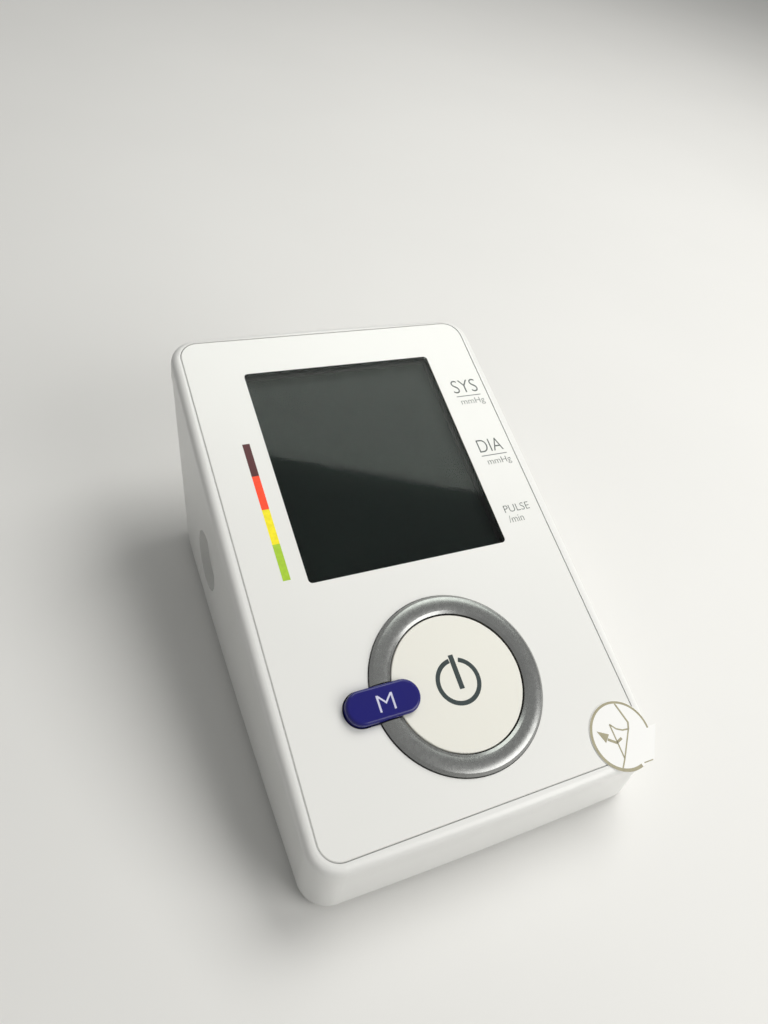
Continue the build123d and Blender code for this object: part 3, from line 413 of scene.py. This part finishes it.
def evaluated_mesh(holder):
    """Plain mesh of what an object's modifiers or lettering make. The object itself is removed."""
    scene.collection.objects.link(holder)
    bpy.context.view_layer.update()
    mesh = bpy.data.meshes.new_from_object(holder.evaluated_get(bpy.context.evaluated_depsgraph_get()))
    bpy.data.objects.remove(holder)
    return mesh


def words_mesh(name, words, height, width):
    """Lettering scaled to a height and a width in mm, with its lower left corner at the origin."""
    curve = bpy.data.curves.new(name, "FONT")
    curve.body = words
    curve.resolution_u = LETTER_STEPS
    curve.offset = LETTER_THINNING
    curve.extrude = INK_THICKNESS / 2
    mesh = evaluated_mesh(bpy.data.objects.new(name, curve))
    xs = [v.co.x for v in mesh.vertices]
    ys = [v.co.y for v in mesh.vertices]
    size = Matrix.Diagonal((width / (max(xs) - min(xs)), height / (max(ys) - min(ys)), 1, 1))
    mesh.transform(size @ Matrix.Translation((-min(xs), -min(ys), INK_THICKNESS / 2)))
    return mesh


# Legends right of the window: the edges of each one's letters, and the lines under two of them, in mm

Legend = namedtuple("Legend", "name words left right low high")
Underline = namedtuple("Underline", "name left right height")

LEGENDS = (
    Legend("legend_sys", "SYS", left=35.0, right=43.9, low=87.5, high=92.4),
    Legend("legend_sys_unit", "mmHg", left=36.0, right=44.5, low=82.4, high=85.2),
    Legend("legend_dia", "DIA", left=34.9, right=43.4, low=65.0, high=69.5),
    Legend("legend_dia_unit", "mmHg", left=36.0, right=44.3, low=59.8, high=62.6),
    Legend("legend_pulse", "PULSE", left=34.4, right=43.2, low=43.7, high=46.1),
    Legend("legend_pulse_unit", "/min", left=34.6, right=39.7, low=40.3, high=42.6),
)
UNDERLINES = (
    Underline("legend_sys_line", left=35.2, right=44.0, height=86.2),
    Underline("legend_dia_line", left=34.8, right=43.8, height=63.7),
)
UNDERLINE_WIDTH = 0.25


def make_legends():
    """Readings' names and units, with a line under the first two names."""
    for legend in LEGENDS:
        mesh = words_mesh(legend.name, legend.words, legend.high - legend.low, legend.right - legend.left)
        place = on_face(0) @ Matrix.Translation((legend.left, legend.low, 0))
        finish_piece(legend.name, mesh, inks["legend"], "housing", place)
    for line in UNDERLINES:
        ends = [(line.left, line.height), (line.right, line.height)]
        mesh = prism_mesh(line.name, [stroke(ends, UNDERLINE_WIDTH)])
        finish_piece(line.name, mesh, inks["legend"], "housing", on_face(0))


# Level bar left of the window, in mm
BAR_LEFT = -36.6
BAR_RIGHT = -34.5
BAR_TOP = 79.3
BAR_LOW = 37.0
BAR_COLOURS = ("maroon", "orange", "yellow", "green")


def make_level_bar():
    """Four coloured fields, one above the other."""
    step = (BAR_TOP - BAR_LOW) / len(BAR_COLOURS)
    for n, colour in enumerate(BAR_COLOURS):
        top = BAR_TOP - n * step
        corners = [(BAR_LEFT, top - step), (BAR_RIGHT, top - step), (BAR_RIGHT, top), (BAR_LEFT, top)]
        mesh = prism_mesh(f"level_bar_{colour}", [corners])
        finish_piece(mesh.name, mesh, inks[colour], "housing", on_face(0))


# Prints on the keys, in mm and degrees
SYMBOL_CENTRE = (0.1, 0)
SYMBOL_RADIUS = 5.7
SYMBOL_STROKE = 1.2
SYMBOL_GAP_START = 96.0
SYMBOL_GAP_END = 70.0
SYMBOL_BAR = ((0.4, 7.1), (0.4, -2.1))
SYMBOL_BAR_WIDTH = 1.4
LETTER_HEIGHT = 4.2
LETTER_WIDTH = 4.4
LETTER_LEFT = -23.4
LETTER_LOW = -2.4


def make_power_symbol():
    """Open circle with a bar through its gap, printed on the power key."""
    ring = stroke(arc(SYMBOL_CENTRE, SYMBOL_RADIUS, SYMBOL_GAP_START, 360 + SYMBOL_GAP_END), SYMBOL_STROKE)
    bar = stroke(SYMBOL_BAR, SYMBOL_BAR_WIDTH)
    mesh = prism_mesh("power_symbol", [ring, bar])
    finish_piece(mesh.name, mesh, inks["symbol"], "power_button", on_face(KEY_TOP))


def make_memory_letter():
    """Letter M on the memory key."""
    mesh = words_mesh("memory_letter", "M", LETTER_HEIGHT, LETTER_WIDTH)
    place = on_face(MEMORY_KEY_TOP) @ Matrix.Translation((LETTER_LEFT, LETTER_LOW, 0))
    finish_piece(mesh.name, mesh, inks["letter"], "memory_button", place)


# Print on the pull tab, in mm: its points are counted from the middle of the tab's round end
TAB_CENTRE = (39.4, -25.5)
TAB_RADIUS = 9.3
TAB_OUTLINE_INSET = 0.45
TAB_OUTLINE_START = -2
TAB_OUTLINE_END = 285
TAB_OUTLINE_THIN = 0.55
TAB_OUTLINE_THICK = 0.9
FOLD_TOP = (-2.0, 3.6)
FOLD_CURVE = ((-0.6, 2.0), (1.1, 1.2))
FOLD_RIGHT = (3.0, 1.0)
FOLD_LOW = (-1.9, -5.6)
SHEET_RIGHT = ((2.2, 8.2), (3.7, 2.6))
SHEET_LOW = (-3.6, -7.6)
SHEET_LINE = 0.4
SHEET_RIGHT_LINE = 0.5
ARROW_SHAFT = ((-0.2, -0.6), (-2.2, -1.3), (-4.4, 0.2))
ARROW_HEAD = ((-6.6, 3.0), (-5.3, -0.5), (-3.4, 1.3))
ARROW_LINE = 0.7
TAIL_EDGE = ((3.2, -8.2), (6.2, -8.2))
TAIL_LINE = 0.3


def on_tab(*points):
    """Places on the face of points on the pull tab."""
    x, y = TAB_CENTRE
    return [(x + right, y + up) for right, up in points]


def make_tab_print():
    """Outline, folded corner and curved arrow printed on the pull tab."""
    round_edge = arc(TAB_CENTRE, TAB_RADIUS - TAB_OUTLINE_INSET, TAB_OUTLINE_START, TAB_OUTLINE_END)
    outlines = [
        stroke(round_edge, TAB_OUTLINE_THIN, TAB_OUTLINE_THICK),
        stroke(on_tab(FOLD_TOP, FOLD_LOW), SHEET_LINE),
        stroke(on_tab(FOLD_TOP, *FOLD_CURVE, FOLD_RIGHT), SHEET_LINE),
        stroke(on_tab(FOLD_RIGHT, FOLD_LOW), SHEET_LINE),
        stroke(on_tab(*SHEET_RIGHT, FOLD_RIGHT), SHEET_RIGHT_LINE),
        stroke(on_tab(FOLD_LOW, SHEET_LOW), SHEET_LINE),
        stroke(on_tab(*TAIL_EDGE), TAIL_LINE),
        stroke(on_tab(*ARROW_SHAFT), ARROW_LINE),
        on_tab(*ARROW_HEAD),
    ]
    mesh = prism_mesh("tab_print", outlines)
    finish_piece(mesh.name, mesh, inks["olive"], "housing", on_face(FILM_TOP))


# Grip ribs on the battery cover, in mm
RIB_COUNT = 6
RIB_PITCH = 1.6
RIB_SIZE = (18.0, 0.7, 0.5)
RIB_INSET = 24.0
RIB_SINK = 0.15


def rib_tree():
    """Row of equal bars, set by their count, pitch and size."""
    tree = bpy.data.node_groups.new("ribs", "GeometryNodeTree")
    tree.interface.new_socket("Geometry", in_out="OUTPUT", socket_type="NodeSocketGeometry")
    inputs = {
        "Count": "NodeSocketInt",
        "Step": "NodeSocketVector",
        "Size": "NodeSocketVector",
        "Material": "NodeSocketMaterial",
    }
    for name, kind in inputs.items():
        tree.interface.new_socket(name, in_out="INPUT", socket_type=kind)
    entry = tree.nodes.new("NodeGroupInput")
    row = tree.nodes.new("GeometryNodeMeshLine")
    bar = tree.nodes.new("GeometryNodeMeshCube")
    copies = tree.nodes.new("GeometryNodeInstanceOnPoints")
    real = tree.nodes.new("GeometryNodeRealizeInstances")
    painted = tree.nodes.new("GeometryNodeSetMaterial")
    leave = tree.nodes.new("NodeGroupOutput")
    links = [
        (entry.outputs["Count"], row.inputs["Count"]),
        (entry.outputs["Step"], row.inputs["Offset"]),
        (entry.outputs["Size"], bar.inputs["Size"]),
        (row.outputs["Mesh"], copies.inputs["Points"]),
        (bar.outputs["Mesh"], copies.inputs["Instance"]),
        (copies.outputs["Instances"], real.inputs["Geometry"]),
        (real.outputs["Geometry"], painted.inputs["Geometry"]),
        (entry.outputs["Material"], painted.inputs["Material"]),
        (painted.outputs["Geometry"], leave.inputs["Geometry"]),
    ]
    for source, target in links:
        tree.links.new(source, target)
    return tree


def make_grip_ribs():
    """Ribs for the thumb on the underside of the battery cover."""
    tree = rib_tree()
    holder = bpy.data.objects.new("ribs", bpy.data.meshes.new("ribs"))
    modifier = holder.modifiers.new("ribs", "NODES")
    modifier.node_group = tree
    values = {
        "Count": RIB_COUNT,
        "Step": (0, -RIB_PITCH * MM, 0),
        "Size": [s * MM for s in RIB_SIZE],
        "Material": finishes["case_white"],
    }
    for item in tree.interface.items_tree:
        if item.in_out == "INPUT":
            modifier[item.identifier] = values[item.name]
    mesh = evaluated_mesh(holder)
    low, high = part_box("battery_cover")
    across = (low.x + high.x) / 2
    place = Matrix.Translation((across, high.y - RIB_INSET * MM, low.z + RIB_SINK * MM))
    finish_piece("cover_grip_ribs", mesh, finishes["case_white"], "battery_door", place)


# The display mirrors a bright card behind the object: the card's lower edge crosses the face, in mm
MIRROR_DISTANCE = 0.45
MIRROR_HALF_WIDTH = 75.0
MIRROR_EDGE_LEFT = 92.5
MIRROR_EDGE_RIGHT = 34.5
MIRROR_TOP = 260.0
MIRROR_GLOW = 3.2
MIRROR_COLOUR = (0.95, 1.0, 0.93, 1)


def mirrored(u, v):
    """Place that the camera sees mirrored at a place of the face."""
    spot = FACE @ (Vector((u, v, 0)) * MM)
    ray = (spot - EYE).normalized()
    return spot + (ray - 2 * ray.dot(outward) * outward) * MIRROR_DISTANCE


def sheet(name, corners, material):
    """Flat sheet with four corners."""
    mesh = bpy.data.meshes.new(name)
    mesh.from_pydata(corners, [], [(0, 1, 2, 3)])
    mesh.materials.append(material)
    piece = bpy.data.objects.new(name, mesh)
    scene.collection.objects.link(piece)
    return piece


def make_mirrored_wall():
    """Pale card that only shows in reflections."""
    glow = bpy.data.materials.new("mirrored_wall")
    glow.use_nodes = True
    tree = glow.node_tree
    tree.nodes.clear()
    light = tree.nodes.new("ShaderNodeEmission")
    light.inputs["Color"].default_value = MIRROR_COLOUR
    light.inputs["Strength"].default_value = MIRROR_GLOW
    output = tree.nodes.new("ShaderNodeOutputMaterial")
    tree.links.new(light.outputs["Emission"], output.inputs["Surface"])
    corners = [
        mirrored(-MIRROR_HALF_WIDTH, MIRROR_EDGE_LEFT),
        mirrored(MIRROR_HALF_WIDTH, MIRROR_EDGE_RIGHT),
        mirrored(MIRROR_HALF_WIDTH, MIRROR_TOP),
        mirrored(-MIRROR_HALF_WIDTH, MIRROR_TOP),
    ]
    wall = sheet("mirrored_wall", corners, glow)
    wall.visible_camera = False
    wall.visible_diffuse = False
    wall.visible_shadow = False


# Floor, room and lamps
FLOOR_HALF = 3.0
FLOOR_COLOUR = (0.8, 0.795, 0.78)
ROOM_COLOUR = (0.96, 0.965, 0.94, 1)
AMBIENT = 0.27
SEEN_ROOM = 0.5
LAMP_COLOUR = (1.0, 0.99, 0.96)


def make_floor():
    """Pale paper under the object."""
    paper = Finish("floor_paper", FLOOR_COLOUR, roughness=0.7)
    paper.mottle(FLOOR_COLOUR, spread=0.01, scale=6.0)
    sides = ((-1, -1), (1, -1), (1, 1), (-1, 1))
    floor = sheet("floor", [(x * FLOOR_HALF, y * FLOOR_HALF, 0) for x, y in sides], paper.material)


def make_room():
    """Pale room that looks brighter, straight on, mirrored or through the pane, than it lights."""
    world = bpy.data.worlds.new("room")
    scene.world = world
    world.use_nodes = True
    tree = world.node_tree
    background = tree.nodes["Background"]
    background.inputs["Color"].default_value = ROOM_COLOUR
    rays = tree.nodes.new("ShaderNodeLightPath")
    seen = rays.outputs["Is Camera Ray"]
    for kind in ("Is Glossy Ray", "Is Transmission Ray"):
        either = tree.nodes.new("ShaderNodeMath")
        either.operation = "MAXIMUM"
        tree.links.new(seen, either.inputs[0])
        tree.links.new(rays.outputs[kind], either.inputs[1])
        seen = either.outputs["Value"]
    level = tree.nodes.new("ShaderNodeMapRange")
    level.inputs["To Min"].default_value = AMBIENT
    level.inputs["To Max"].default_value = SEEN_ROOM
    tree.links.new(seen, level.inputs["Value"])
    tree.links.new(level.outputs["Result"], background.inputs["Strength"])


def make_lamp(name, place, target, size, power, glossy):
    """Square soft lamp that points at a target."""
    data = bpy.data.lights.new(name, "AREA")
    data.shape = "SQUARE"
    data.size = size
    data.energy = power
    data.color = LAMP_COLOUR
    lamp = bpy.data.objects.new(name, data)
    lamp.location = place
    lamp.rotation_euler = (Vector(target) - Vector(place)).to_track_quat("-Z", "Y").to_euler()
    lamp.visible_glossy = glossy
    lamp.visible_transmission = False
    scene.collection.objects.link(lamp)


make_camera()
dress_cad_nodes()
make_legends()
make_level_bar()
make_power_symbol()
make_memory_letter()
make_tab_print()
make_grip_ribs()
make_floor()
make_room()
make_mirrored_wall()
make_lamp("key_lamp", place=(0.5, 0.24, 0.85), target=(0, 0, 0.03), size=0.6, power=6.3, glossy=False)
make_lamp("front_lamp", place=(0.42, -0.5, 0.4), target=(0.06, -0.08, 0.02), size=0.5, power=2.9, glossy=True)

scene.view_settings.view_transform = "Standard"
